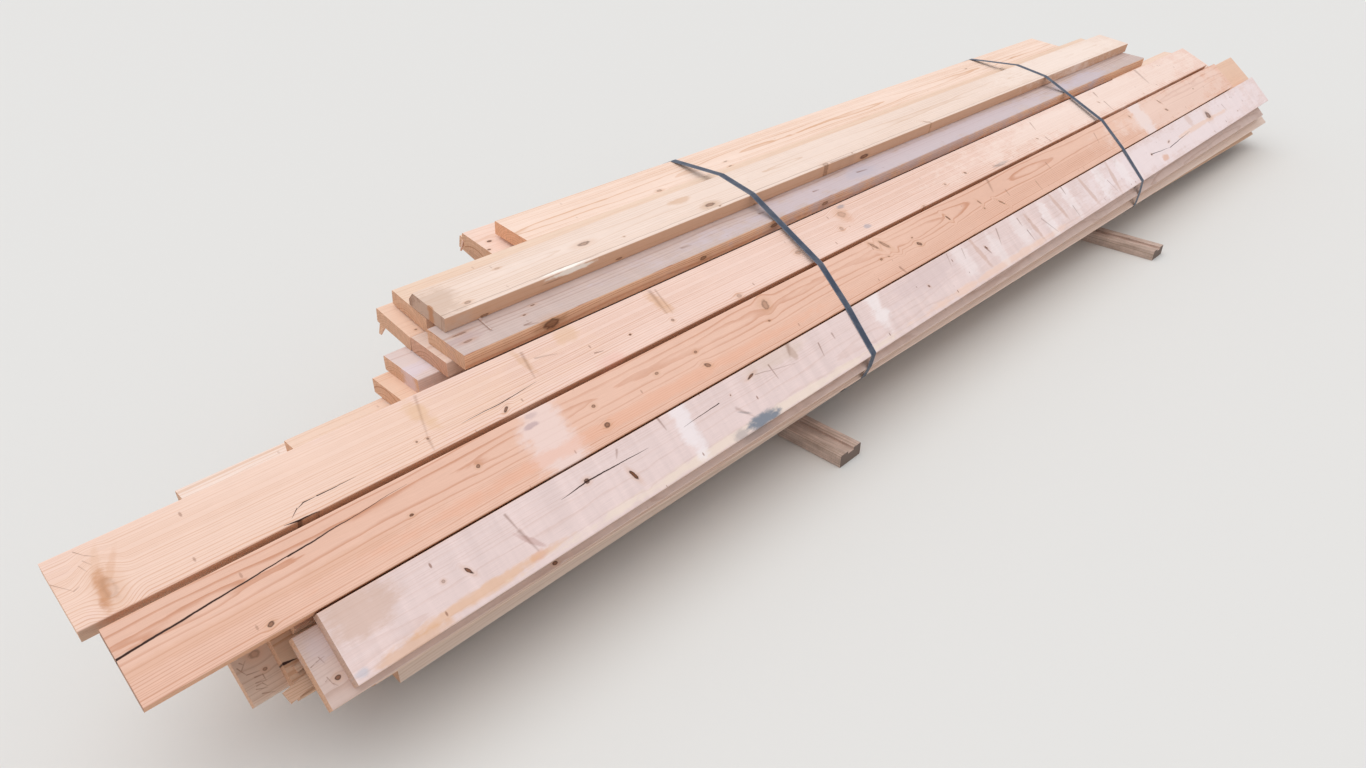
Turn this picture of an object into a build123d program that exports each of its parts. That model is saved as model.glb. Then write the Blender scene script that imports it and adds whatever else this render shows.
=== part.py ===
"""A strapped bundle of dressed pine boards, lying on two grooved battens.

The boards run along X, with their near ends at the low-X end. Y points to the tall side of the heap,
and the other side falls away in a slope. The ground is Z = 0. Each board is given by the place of its
left edge and by its tilt, and it comes to rest on the boards that are under it.
"""
import os
from math import cos, radians, sin, tan

from build123d import *

# board stock, millimetres
BOARD_WIDTH = 140.0
BOARD_THICKNESS = 38.0
ARRIS = 3.0
LONG_LENGTH = 4877.0
SHORT_LENGTH = 3658.0
CUT_LENGTH = 3048.0
SEAT_GAP = 0.2

# grooved battens under the bundle
BATTEN_WIDTH = 89.0
BATTEN_HEIGHT = 38.0
BATTEN_LENGTH = 1067.0
BATTEN_CHAMFER = 2.0
GROOVE_WIDTH = 26.0
GROOVE_DEPTH = 8.0
NEAR_BATTEN_X = 1643.0
FAR_BATTEN_X = 3513.0
NEAR_BATTEN_RIGHT = -472.0
FAR_BATTEN_RIGHT = -565.0

# flat straps round the bundle
STRAP_WIDTH = 22.0
STRAP_THICKNESS = 0.9
STRAP_GAP = 0.3
STRAP_SLANT = 7.0
NEAR_STRAP_X = 1850.0
FAR_STRAP_X = 3665.0

# offcuts of thin lath on one of the side boards: place along that board, place across it, length and width
LATH_BOARD = "side_board_4"
LATH_THICKNESS = 10.0
LATH_TURN = 11.0
LATHS = ((30.0, -47.0, 100.0, 24.0), (43.0, -15.0, 62.0, 13.0))

# wane on one long edge of the top board, where the bark side of the log showed
WANE_WIDTH = 16.0
WANE_DEPTH = 22.0
WANE_LENGTH = 620.0

# level courses from the battens up: place of the right edge, gap between boards, near ends of the long boards
# and of the shorter ones to their left
COURSES = (
    (-255.0, 3.0, (420, 290, 360), (840, 1200)),
    (-322.0, 3.0, (400, 345, 295, 350), (850, 1215)),
    (-222.0, 4.0, (340, 310, 355), (845, 1190)),
    (-180.0, 5.0, (310, 350, 320), (838, 1230)),
    (-137.0, 18.0, (345, 300), (835, 1210)),
    (-128.0, 18.0, (320, 360), (850, 1185)),
    (-49.0, 3.0, (330, 265), (845, 1200)),
    (43.0, 4.0, (479,), (838, 1195)),
)

# three fans of parallel boards that lean on the stepped side, lowest board first:
# name, place of the lowest board's left edge, tilt, and for each board its slide to the right, its near end and
# the skew that brings its far end out to the right
FANS = (
    ("side_board", -158.0, 42.0,
     ((0, 170, 0.0), (31, 233, 1.57), (48, 340, 0.83), (-3, 252, 0.39), (-12, 297, 0.0))),
    ("slope_board", -148.5, 38.0, ((0, 270, 0.0), (0, 363, 0.0), (0, 24, 0.0))),
    ("shoulder_board", 29.0, 24.0, ((0, 190, 0.0), (6, 210, 0.0), (14, 128, 0.0), (10, 0, 0.0))),
)

# boards of the tall side, in the order in which they were laid: name, left edge, tilt, near end, length
LAID_BOARDS = (
    ("fourth_board_right", 205.0, 2.0, 706, SHORT_LENGTH),
    ("third_board_right", 213.0, 2.0, 746, SHORT_LENGTH),
    ("fourth_board_middle", 357.0, 10.0, 870, SHORT_LENGTH),
    ("third_board_middle", 363.0, 10.0, 838, SHORT_LENGTH),
    ("fourth_board_left", 520.0, 18.0, 1210, CUT_LENGTH),
    ("third_board_left", 560.0, 15.0, 1193, CUT_LENGTH),
    ("second_board_right", 175.0, 4.0, 800, SHORT_LENGTH),
    ("second_board_middle", 318.0, 10.0, 801, SHORT_LENGTH),
    ("second_board_left", 514.0, 8.0, 1173, CUT_LENGTH),
    ("upper_board_right", 123.0, 4.4, 815, SHORT_LENGTH),
    ("upper_board_middle", 297.0, 10.0, 837, SHORT_LENGTH),
    ("upper_board_left", 441.0, 6.0, 1232, CUT_LENGTH),
    ("top_board", 215.0, 8.0, 835, SHORT_LENGTH),
)

ARC_STEPS = 4
WANE_OVERCUT = 2.0


def section_points(tilt):
    """Outline of a board with eased edges about its centre, its right side down by the tilt."""
    arc_y = BOARD_WIDTH / 2 - ARRIS
    arc_z = BOARD_THICKNESS / 2 - ARRIS
    centres = ((arc_y, arc_z, 0), (-arc_y, arc_z, 90), (-arc_y, -arc_z, 180), (arc_y, -arc_z, 270))
    turn = radians(tilt)
    points = []
    for y, z, start in centres:
        for step in range(ARC_STEPS + 1):
            angle = radians(start + 90 * step / ARC_STEPS)
            py, pz = y + ARRIS * cos(angle), z + ARRIS * sin(angle)
            points.append((py * cos(turn) - pz * sin(turn), py * sin(turn) + pz * cos(turn)))
    return points


def heights_at(points, y):
    """Lowest and highest point of an outline above the place y."""
    found = []
    for (y0, z0), (y1, z1) in zip(points, points[1:] + points[:1]):
        if y0 != y1 and min(y0, y1) <= y <= max(y0, y1):
            found.append(z0 + (z1 - z0) * (y - y0) / (y1 - y0))
    return min(found), max(found)


def come_to_rest(left_edge, tilt, pile):
    """Centre of a board that is lowered onto the pile, with its upper left edge at left_edge."""
    turn = radians(tilt)
    centre_y = left_edge - BOARD_WIDTH / 2 * cos(turn) + BOARD_THICKNESS / 2 * sin(turn)
    points = [(y + centre_y, z) for y, z in section_points(tilt)]
    centre_z = BATTEN_HEIGHT - min(z for _, z in points)
    low, high = min(y for y, _ in points), max(y for y, _ in points)
    for board in pile:
        for y, _ in board["points"] + points:
            if low < y < high and board["low"] < y < board["high"]:
                gap = heights_at(points, y)[0] - heights_at(board["points"], y)[1]
                centre_z = max(centre_z, SEAT_GAP - gap)
    return centre_y, centre_z


def lay(name, left_edge, tilt, near_end, length, pile):
    """Adds one board to the pile and gives it back."""
    centre_y, centre_z = come_to_rest(left_edge, tilt, pile)
    points = [(y + centre_y, z + centre_z) for y, z in section_points(tilt)]
    places = [y for y, _ in points]
    board = {"name": name, "y": centre_y, "z": centre_z, "tilt": tilt, "skew": 0.0, "near": near_end,
             "length": length, "points": points, "low": min(places), "high": max(places)}
    pile.append(board)
    return board


def lay_courses(pile):
    """Level courses: long boards to the right, shorter ones behind on the tall side."""
    for number, (right_edge, gap, long_ends, short_ends) in enumerate(COURSES, start=1):
        lengths = [LONG_LENGTH] * len(long_ends) + [SHORT_LENGTH] * len(short_ends)
        for place, (near_end, length) in enumerate(zip(long_ends + short_ends, lengths)):
            left_edge = right_edge + BOARD_WIDTH + place * (BOARD_WIDTH + gap)
            lay("course_%d" % number, left_edge, 0.0, near_end, length, pile)


def lay_fans(pile):
    """Leaning stacks: each board lies face to face on the one before, moved to the right by its slide."""
    for name, left_edge, tilt, boards in FANS:
        for number, (slide, near_end, skew) in enumerate(boards):
            left_edge -= slide * cos(radians(tilt))
            board = lay("%s_%d" % (name, len(boards) - number), left_edge, tilt, near_end, LONG_LENGTH, pile)
            board["skew"] = skew
            left_edge -= (BOARD_THICKNESS + SEAT_GAP) * sin(radians(tilt))


def settle_pile():
    """The whole heap of boards, from the battens up."""
    pile = []
    lay_courses(pile)
    lay_fans(pile)
    for name, left_edge, tilt, near_end, length in LAID_BOARDS:
        lay(name, left_edge, tilt, near_end, length, pile)
    return pile


def board_corners(board, x):
    """Centres of the four eased edges of a board at the place x, seen along its length."""
    turn = radians(board["tilt"])
    out = (x - board["near"]) * tan(radians(board["skew"]))
    corners = []
    for side_y, side_z in ((1, 1), (-1, 1), (-1, -1), (1, -1)):
        y, z = side_y * (BOARD_WIDTH / 2 - ARRIS) - out, side_z * (BOARD_THICKNESS / 2 - ARRIS)
        corners.append((board["y"] + y * cos(turn) - z * sin(turn), board["z"] + y * sin(turn) + z * cos(turn)))
    return corners


pile = settle_pile()
near_most = min(board["near"] for board in pile)
far_most = max(board["near"] + board["length"] for board in pile)
left_most = max(max(board["high"] for board in pile), NEAR_BATTEN_RIGHT + BATTEN_LENGTH)
CENTRE_X = (near_most + far_most) / 2
CENTRE_Y = (left_most + FAR_BATTEN_RIGHT) / 2


def board_plane(board):
    """Plane across the near end of a board, turned by its tilt and its skew."""
    turn, skew = radians(board["tilt"]), radians(board["skew"])
    return Plane(origin=(board["near"] - CENTRE_X, board["y"] - CENTRE_Y, board["z"]),
                 x_dir=(sin(skew), cos(skew) * cos(turn), cos(skew) * sin(turn)),
                 z_dir=(cos(skew), -sin(skew) * cos(turn), -sin(skew) * sin(turn)))


def save(part, name):
    """Labels a finished piece and writes it under that name."""
    part.label = name
    export_step(part, "parts/%s.step" % name)


def make_boards(name, boards):
    """The boards of one node, each a solid of its own with eased long edges."""
    with BuildPart() as timber:
        for board in boards:
            with BuildSketch(board_plane(board)):
                RectangleRounded(BOARD_WIDTH, BOARD_THICKNESS, ARRIS)
            extrude(amount=board["length"])
    save(timber.part, name)


def make_top_board(board):
    """The board on top, with the wane that runs out along its upper left edge at the near end."""
    with BuildPart() as timber:
        with BuildSketch(board_plane(board)):
            RectangleRounded(BOARD_WIDTH, BOARD_THICKNESS, ARRIS)
        extrude(amount=board["length"])
        near = board_plane(board)
        corner = near.origin + near.x_dir * (BOARD_WIDTH / 2) + near.y_dir * (BOARD_THICKNESS / 2)
        with BuildSketch(Plane(origin=corner, x_dir=near.x_dir, z_dir=near.z_dir)):
            with BuildLine():
                Polyline((WANE_OVERCUT, -WANE_DEPTH), (WANE_OVERCUT, WANE_OVERCUT),
                         (-WANE_WIDTH, WANE_OVERCUT), (-WANE_WIDTH, 0), (0, -WANE_DEPTH),
                         (WANE_OVERCUT, -WANE_DEPTH))
            make_face()
        with BuildSketch(Plane(origin=corner + near.z_dir * WANE_LENGTH, x_dir=near.x_dir, z_dir=near.z_dir)):
            with BuildLine():
                Polyline((WANE_OVERCUT, -WANE_OVERCUT), (WANE_OVERCUT, WANE_OVERCUT),
                         (-WANE_OVERCUT, WANE_OVERCUT), (-WANE_OVERCUT, 0), (0, -WANE_OVERCUT),
                         (WANE_OVERCUT, -WANE_OVERCUT))
            make_face()
        loft(ruled=True, mode=Mode.SUBTRACT)
    save(timber.part, board["name"])


def make_batten(name, batten_x, right_end):
    """A batten across the bundle, with the groove along its top that such battens have."""
    with BuildPart() as batten:
        with BuildSketch(Plane.XZ.offset(CENTRE_Y - right_end)):
            with Locations((batten_x - CENTRE_X, BATTEN_HEIGHT / 2)):
                Rectangle(BATTEN_WIDTH, BATTEN_HEIGHT)
            with Locations((batten_x - CENTRE_X, BATTEN_HEIGHT - GROOVE_DEPTH / 2)):
                Rectangle(GROOVE_WIDTH, GROOVE_DEPTH, mode=Mode.SUBTRACT)
        extrude(amount=-BATTEN_LENGTH)
        long_edges = batten.edges().filter_by(Axis.Y).group_by(Axis.X)
        chamfer(long_edges[0] + long_edges[-1], BATTEN_CHAMFER)
    save(batten.part, name)


def make_laths(board):
    """Short offcuts that lie askew on a board, in front of the set-back end of the one above it."""
    near = board_plane(board)
    lift = BOARD_THICKNESS / 2 + SEAT_GAP + LATH_THICKNESS / 2
    with BuildPart() as laths:
        for along, across, length, width in LATHS:
            centre = near.origin + near.z_dir * along + near.x_dir * across + near.y_dir * lift
            seat = Plane(origin=centre, x_dir=near.z_dir, z_dir=near.y_dir).location
            with Locations(seat * Location((0, 0, 0), (0, 0, LATH_TURN))):
                Box(length, width, LATH_THICKNESS)
    save(laths.part, "lath_offcuts")


def outer_corners(strap_x):
    """Edge centres that stand furthest out in some direction, which are the ones a tight loop touches."""
    corners = []
    for board in pile:
        crossing = strap_x + (board["y"] - CENTRE_Y) * tan(radians(STRAP_SLANT))
        if board["near"] < crossing < board["near"] + board["length"]:
            corners += board_corners(board, crossing)
    return {max(corners, key=lambda corner: corner[0] * cos(radians(way)) + corner[1] * sin(radians(way)))
            for way in range(360)}


def strap_loop(strap_x, plane_x, clearance):
    """Face inside a tight loop round the whole heap, kept clear of the boards by the clearance."""
    with BuildSketch(Plane.YZ.offset(plane_x)) as loop:
        with BuildLine():
            for y, z in outer_corners(strap_x):
                CenterArc((y - CENTRE_Y, z), ARRIS + clearance, 0, 360)
        make_hull()
    return loop.sketch


def make_strap(name, strap_x):
    """A flat band round the bundle, drawn tight over the outer edges and a little aslant."""
    reach = (left_most - FAR_BATTEN_RIGHT) * sin(radians(STRAP_SLANT)) / 2 + STRAP_WIDTH
    plane_x = strap_x - CENTRE_X - reach
    outer = extrude(strap_loop(strap_x, plane_x, STRAP_GAP + STRAP_THICKNESS), 2 * reach)
    inner = extrude(strap_loop(strap_x, plane_x, STRAP_GAP), 2 * reach)
    with BuildPart() as strap:
        add(outer)
        add(inner, mode=Mode.SUBTRACT)
        with Locations(Location((strap_x - CENTRE_X, 0, 0), (0, 0, -STRAP_SLANT))):
            Box(STRAP_WIDTH, 4 * BATTEN_LENGTH, 4 * BATTEN_LENGTH, mode=Mode.INTERSECT)
    save(strap.part, name)


os.makedirs("parts", exist_ok=True)
for node in dict.fromkeys(board["name"] for board in pile):
    boards = [board for board in pile if board["name"] == node]
    if node == "top_board":
        make_top_board(boards[0])
    else:
        make_boards(node, boards)
    if node == LATH_BOARD:
        make_laths(boards[0])
make_batten("batten_near", NEAR_BATTEN_X, NEAR_BATTEN_RIGHT)
make_batten("batten_far", FAR_BATTEN_X, FAR_BATTEN_RIGHT)
make_strap("strap_near", NEAR_STRAP_X)
make_strap("strap_far", FAR_STRAP_X)
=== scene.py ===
from math import cos, radians, sin

import bpy
from bpy.props import FloatProperty, PointerProperty, StringProperty
from mathutils import Matrix, Vector


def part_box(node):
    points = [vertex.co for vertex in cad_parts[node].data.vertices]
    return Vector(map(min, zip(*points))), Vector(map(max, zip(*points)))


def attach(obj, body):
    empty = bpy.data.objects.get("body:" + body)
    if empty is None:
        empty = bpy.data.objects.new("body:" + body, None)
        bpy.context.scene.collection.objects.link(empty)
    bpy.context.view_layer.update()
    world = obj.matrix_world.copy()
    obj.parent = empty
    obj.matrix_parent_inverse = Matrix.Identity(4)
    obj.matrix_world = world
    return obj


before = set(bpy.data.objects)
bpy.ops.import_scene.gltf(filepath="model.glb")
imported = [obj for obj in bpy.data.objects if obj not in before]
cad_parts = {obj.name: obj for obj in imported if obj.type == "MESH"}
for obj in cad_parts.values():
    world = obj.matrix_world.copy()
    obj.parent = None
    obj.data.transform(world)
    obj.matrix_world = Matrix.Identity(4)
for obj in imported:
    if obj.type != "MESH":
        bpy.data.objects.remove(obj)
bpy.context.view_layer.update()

bl_info = {
    "name": "Bundle of pine studs",
    "version": (1, 0, 0),
    "blender": (4, 5, 0),
    "location": "3D View > Sidebar > Pine bundle",
    "description": "Finishes for a strapped bundle of dressed pine boards",
    "category": "Object",
}

MM = 0.001
BOARD_WIDTH = 0.140

# number of boards side by side in each level course, colours of their early and late wood
COURSES = {
    "course_1": (5, "#DFC6B4", "#C9A58C"), "course_2": (6, "#DFC8B8", "#C9A890"),
    "course_3": (5, "#EFCDB4", "#DDAA86"), "course_4": (5, "#EBC9B2", "#D6A481"),
    "course_5": (4, "#F0D2BC", "#DDAE8C"), "course_6": (4, "#ECCBB6", "#D8A888"),
    "course_7": (4, "#F5E0D4", "#E4C0A8"), "course_8": (3, "#F0D2BE", "#DDB092")}

# Dressed pine, board by board. Colours are sRGB hex, lengths millimetres. pith is how far the heart of the log
# lies to the left and up from the board's middle, ring the width of a growth ring. edge and edge_late tint the narrow
# sides: partly their own more orange tone, partly painted shade and painted light that set how dark a side looks.
# knots: along from the near end, across to the left, length, width, turn in degrees, darkness
# edge_knots: the same on the right side, with the height from the board's middle in place of across, and no turn
# streaks, splits: along and across of the start and of the end, width, and a streak's strength
# stains and painted sheen: along, across, length, width, turn in degrees, colour, strength. Most are stains; the long
# pale patches over the far ends are painted sheen
# edge_stains: along, height, length, width, colour, strength
PLAIN = {
    "early": "#EFCDB4", "late": "#DDAA86", "pith": (10, -70), "ring": 4.2, "wander": 16, "contrast": 0.7,
    "banding": 0.1, "flecks": 0.25, "edge": None, "edge_late": "#C99672", "end_early": "#E2B899",
    "end_late": "#B57F5C", "knots": (), "edge_knots": (), "streaks": (), "splits": (), "stains_and_sheen": (),
    "edge_stains": ()}
BOARDS = {
    "shoulder_board_1": {
        "early": "#F5D6C8", "late": "#D9A68A", "pith": (-95, -52), "ring": 3.4, "wander": 9, "contrast": 0.95,
        # edge and edge_late are darker here: painted shade for the gap between this board and the next, over the side's
        # own tone
        "end_early": "#E6BCA2", "end_late": "#C8906D", "edge": "#C8A791", "edge_late": "#A98068", "flecks": 0.5,
        "knots": ((64, -25, 30, 60, 0, 0.1), (614, -31, 6, 6, 0, 0.6), (636, -35, 7, 7, 0, 0.6),
                  (809, -54, 22, 9, 40, 0.85), (1185, -23, 8, 7, 0, 0.9), (1311, -38, 12, 12, 0, 0.5),
                  (1530, -60, 18, 16, 0, 0.3), (1813, -20, 26, 18, 0, 0.3), (2074, 30, 40, 34, 0, 0.22),
                  (2023, -13, 18, 18, 0, 0.3), (2700, -25, 16, 9, -30, 0.8), (2565, -31, 14, 10, 0, 0.4),
                  (2388, -69, 20, 12, 0, 0.3), (3212, -28, 14, 7, -40, 0.5), (3794, -1, 14, 8, -50, 0.4)),
        "streaks": ((47, 62, 58, 48, 1.5, 0.6), (58, 48, 70, 38, 1.5, 0.5), (52, 40, 60, 26, 1.5, 0.4),
                    (44, 34, 50, 18, 1.5, 0.4), (0, 25, 22, -3, 1.5, 0.5), (22, -3, 32, 0, 1.5, 0.5),
                    (671, 63, 637, -35, 6, 0.3), (637, -35, 632, -64, 6, 0.35),
                    (928, 52, 912, -18, 7, 0.4), (946, 26, 997, 14, 4, 0.4), (1074, -27, 1096, -31, 3, 0.8),
                    (1323, 59, 1312, -15, 10, 0.4), (1339, 58, 1328, -17, 5, 0.35), (2853, -48, 2916, -65, 6, 0.35),
                    (3277, 45, 3259, 7, 6, 0.5), (3262, -38, 3259, -67, 6, 0.5), (3839, 48, 3830, 22, 9, 0.6),
                    (3833, -9, 3818, -68, 6, 0.6), (4297, 68, 4271, -21, 16, 0.45)),
        "splits": ((352, -68, 328, -64, 3), (352, -68, 392, -70, 3), (363, -45, 346, -59, 1.6),
                   (377, -40, 363, -46, 2), (377, -40, 403, -40, 2.2), (403, -40, 480, -41, 2.2),
                   (816, -35, 712, -38, 2), (816, -35, 909, -27, 2)),
        "stains_and_sheen": ((300, 0, 1500, 240, 0, "#F1CBAA", 0.25), (66, 30, 70, 16, 68, "#E0B493", 0.3),
                   (78, 4, 90, 14, 60, "#DBA886", 0.35), (56, -24, 84, 26, 78, "#CB9068", 0.75),
                   (47, -46, 26, 16, 80, "#BE7F57", 0.4),
                   (657, 18, 46, 110, 12, "#E2B78D", 0.5), (918, 25, 26, 100, 12, "#D6A983", 0.45),
                   (1045, 49, 70, 50, 0, "#E0B792", 0.5), (1319, 24, 44, 95, 15, "#D9A980", 0.55),
                   (1095, -61, 90, 36, 0, "#EDBBAD", 0.4), (2099, 56, 46, 16, 0, "#8F8F98", 0.6),
                   (2113, -43, 40, 20, 0, "#A5A3AE", 0.6), (2078, 22, 60, 60, 0, "#DDA88C", 0.4),
                   # the long pale patch over the far end, (3900, 0, 2600, ...), is painted sheen
                   (2891, -55, 120, 16, 0, "#98928F", 0.5), (3900, 0, 2600, 170, 0, "#FAE6DA", 0.5))},
    "shoulder_board_2": {"early": "#F8E2D6", "late": "#E8C6AE"},
    "shoulder_board_3": {"early": "#EFCDB4", "late": "#DDAC88"},
    "shoulder_board_4": {"early": "#ECC9AF", "late": "#D9A682"},
    "slope_board_1": {
        "early": "#F1C6B0", "late": "#CE8F6E", "pith": (30, -70), "ring": 3.0, "wander": 18, "contrast": 0.7,
        "flecks": 0.4, "end_early": "#B98A6E", "end_late": "#8A5F49", "edge": "#E3AE8C",
        "knots": ((205, -53, 15, 10, 20, 0.75), (496, -4, 11, 7, 0, 0.9), (657, 18, 11, 10, 0, 0.7),
                  (951, 16, 13, 10, 0, 0.6), (953, -34, 20, 16, 0, 0.75), (1138, 14, 15, 10, 0, 0.5),
                  (1267, 16, 13, 9, 0, 0.55), (1274, -25, 24, 13, -30, 0.65), (1542, 40, 30, 34, -20, 0.4),
                  (1521, 1, 10, 8, 0, 0.6), (2028, 45, 50, 12, -50, 0.5), (2071, 34, 56, 14, -50, 0.45),
                  (2020, 0, 14, 9, 0, 0.6), (2055, 2, 12, 8, 0, 0.5), (2205, -13, 28, 14, -30, 0.75),
                  (2194, 13, 10, 7, 0, 0.6), (2400, 15, 30, 9, -60, 0.8), (2590, 13, 24, 8, -60, 0.6),
                  (2593, -12, 12, 8, 0, 0.6), (2693, -22, 40, 7, -45, 0.65), (3823, 33, 18, 10, -40, 0.5),
                  (4129, 32, 36, 7, -50, 0.6), (4139, -15, 26, 10, -30, 0.75), (4496, 11, 12, 7, 0, 0.5)),
        "streaks": ((2066, -46, 2077, -71, 7, 0.6), (2706, 66, 2691, 23, 12, 0.45), (2758, 7, 2758, -17, 5, 0.45),
                    (2943, -16, 2945, -55, 5, 0.45), (3074, 25, 3077, -5, 5, 0.45), (3496, 41, 3481, -3, 5, 0.5)),
        "splits": ((0, 15, 400, 44, 4), (280, 34, 520, 52, 2)),
        "stains_and_sheen": ((824, 0, 130, 420, 0, "#F1D8D0", 0.8), (803, 41, 40, 14, 0, "#A88C94", 0.5),
                   (811, 60, 40, 16, 0, "#B79C9E", 0.4), (1079, -35, 1500, 34, 0, "#EFAE8D", 0.35),
                   (130, -15, 800, 30, 0, "#DDA888", 0.3), (3905, 7, 120, 420, 0, "#F1E0DD", 0.85),
                   # the long pale patch over the far end, (4300, 0, 1500, ...), is painted sheen
                   (4300, 0, 1500, 180, 0, "#F6DCD0", 0.5))},
    "slope_board_2": {"early": "#EDC7AE", "late": "#D9A582"},
    "slope_board_3": {"early": "#E9C3AA", "late": "#D39E7B"},
    "side_board_1": {
        "early": "#EFD8D3", "late": "#DCBBAF", "pith": (-30, -120), "ring": 3.0, "wander": 8, "contrast": 0.45,
        # edge is lighter here: painted light on this board's shaded right side, over the side's own tone
        "flecks": 0.7, "banding": 0.5, "end_early": "#D3B4A2", "end_late": "#AD8974", "edge": "#EDD0B8",
        "knots": ((260, -1, 24, 8, -60, 0.95), (210, 6, 9, 8, 0, 0.35), (567, 30, 16, 14, 0, 0.85),
                  (671, -10, 34, 11, -70, 1.0), (1095, 46, 34, 8, 12, 0.9), (1010, 31, 5, 5, 0, 0.9),
                  (1857, 10, 12, 8, -45, 0.8), (2203, 21, 16, 6, -50, 0.9), (4181, 20, 50, 44, 0, 0.7),
                  (4486, -34, 9, 6, 0, 0.8), (3702, 9, 26, 9, 10, 0.6), (3508, 1, 14, 10, 0, 0.85)),
        "streaks": ((377, 54, 385, 14, 5, 0.55), (385, 14, 398, -37, 7, 0.5), (667, 54, 656, 39, 5, 0.5),
                    (799, 69, 803, 37, 5, 0.6), (1109, 44, 1240, 17, 2, 0.5), (1162, 47, 1166, 7, 4, 0.65),
                    (1260, 78, 1238, 38, 12, 0.35), (1348, 30, 1341, -5, 4, 0.7), (1409, 35, 1409, 19, 5, 0.6),
                    (1004, -3, 1038, -42, 7, 0.35), (2198, 23, 2210, -3, 6, 0.9), (2305, 56, 2282, 4, 5, 0.6),
                    (2011, 64, 2000, 27, 4, 0.4), (2091, 56, 2080, 23, 4, 0.45), (2440, 50, 2441, 21, 5, 0.6),
                    (2452, 0, 2457, -41, 5, 0.7), (2563, 8, 2607, -59, 5, 0.5), (2783, 68, 2784, 37, 6, 0.7),
                    (2780, -10, 2782, -53, 5, 0.5), (4375, 30, 4384, -4, 6, 0.5), (3089, 5, 3112, -54, 4, 0.5)),
        "splits": ((566, 29, 495, 24, 3), (562, 29, 738, 24, 3.4), (968, 28, 846, 23, 2.2),
                   (3508, 1, 3683, -14, 3), (3683, -14, 3933, 1, 3)),
        "stains_and_sheen": ((393, -11, 70, 12, -50, "#B98A80", 0.4), (393, -47, 44, 22, 0, "#D98F5F", 0.4),
                   (245, -48, 420, 26, 0, "#E6B488", 0.6), (114, -62, 200, 34, 0, "#DFAE85", 0.55),
                   (50, 40, 190, 110, -12, "#D3B09C", 0.6), (17, -55, 32, 20, 0, "#B9BECB", 0.5),
                   (1031, -57, 1300, 26, 0, "#F3E0CC", 0.6),
                   (1052, -58, 130, 36, 0, "#7C838F", 0.95), (1017, -20, 60, 8, -30, "#A59C9B", 0.6),
                   (976, -60, 60, 30, 0, "#AFA4A3", 0.65), (856, 40, 60, 240, 0, "#F6ECEC", 0.7),
                   (1203, 58, 260, 60, 0, "#DCC4B4", 0.5), (1251, 52, 24, 60, 10, "#B99A88", 0.5),
                   (2233, -54, 1100, 26, 0, "#F1CDB8", 0.65), (1867, 36, 400, 100, 0, "#D9C2C0", 0.4),
                   # (3900, 0, 2600, ...) is a long pale patch over the far end: painted sheen
                   (3900, 0, 2600, 170, 0, "#F6E6E6", 0.6), (1613, 40, 70, 160, 0, "#FBF2F0", 0.6),
                   (2068, 30, 90, 170, 8, "#FBF2F0", 0.35), (2250, 0, 70, 170, 8, "#FBF2F0", 0.35),
                   (2420, 20, 90, 170, 8, "#FBF2F0", 0.35), (2600, 0, 60, 170, -8, "#FBF2F0", 0.4),
                   (2790, 10, 80, 170, 8, "#FBF2F0", 0.35), (3050, 10, 90, 170, -8, "#FBF2F0", 0.4),
                   (3230, 0, 70, 170, 8, "#FBF2F0", 0.35), (2160, 20, 24, 140, 12, "#C9A18C", 0.5),
                   (2500, -10, 24, 150, 12, "#C9A18C", 0.5), (2700, 10, 24, 150, 12, "#C9A18C", 0.5),
                   (2930, 10, 26, 150, 12, "#C9A18C", 0.5), (3140, 0, 26, 150, -10, "#C9A18C", 0.5),
                   (3598, -39, 60, 30, 0, "#E0A47E", 0.6),
                   (4089, 2, 700, 24, 0, "#EFC9B2", 0.6), (3984, 44, 60, 60, 0, "#D9B7A8", 0.5))},
    "side_board_2": {
        "early": "#D8C0B6", "late": "#BF9F90", "pith": (-60, -90), "ring": 3.2, "banding": 0.4, "edge": "#E3C3A8",
        "knots": ((32, -27, 14, 11, 0, 0.85), (477, -61, 14, 10, 0, 0.9)),
        "streaks": ((3, 10, 14, 13, 1.6, 0.6), (14, 13, 30, 15, 1.6, 0.6), (21, 18, 25, 4, 1.6, 0.6),
                    (17, -17, 21, -35, 1.6, 0.6), (12, -22, 18, -20, 1.6, 0.5), (20, -30, 26, -39, 1.6, 0.5)),
        "stains_and_sheen": ((27, 36, 60, 60, 0, "#CDBFC4", 0.4),)},
    "side_board_3": {"early": "#E3CCBE", "late": "#CFAC96", "edge": "#E3C3A8"},
    "side_board_4": {"early": "#D8B79C", "late": "#BC8C69", "edge": "#D9B494", "splits": ((2, -1, 25, -4, 5),)},
    "side_board_5": {
        "early": "#DAC2B0", "late": "#BC9C86", "banding": 0.4,
        "knots": ((39, 9, 24, 18, 0, 0.3), (42, -22, 12, 9, 0, 0.5)),
        "streaks": ((5, 2, 13, -15, 1.6, 0.7), (13, -15, 34, -20, 1.6, 0.7), (10, -4, 22, 7, 1.6, 0.6),
                    (12, 8, 17, 1, 2, 0.6), (22, -26, 35, -28, 1.8, 0.7), (35, -28, 35, -40, 1.8, 0.6),
                    (19, -35, 37, -40, 1.6, 0.6), (18, -40, 28, -41, 1.6, 0.6), (28, -41, 33, -50, 1.6, 0.6),
                    (15, -45, 32, -53, 1.6, 0.6), (20, -57, 39, -65, 1.8, 0.6))},
    "top_board": {
        "early": "#F3DDCF", "late": "#DDB99E", "pith": (8, -34), "ring": 4.0, "wander": 14, "edge": "#D4A88A",
        "end_early": "#B08B75", "end_late": "#835E49",
        "knots": ((452, -1, 50, 18, 0, 0.5), (76, -47, 22, 13, 0, 0.4), (212, 30, 18, 8, 0, 0.2),
                  (560, -34, 8, 6, 0, 0.4), (874, -41, 46, 20, 0, 0.6), (892, -57, 10, 8, 0, 0.6),
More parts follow.
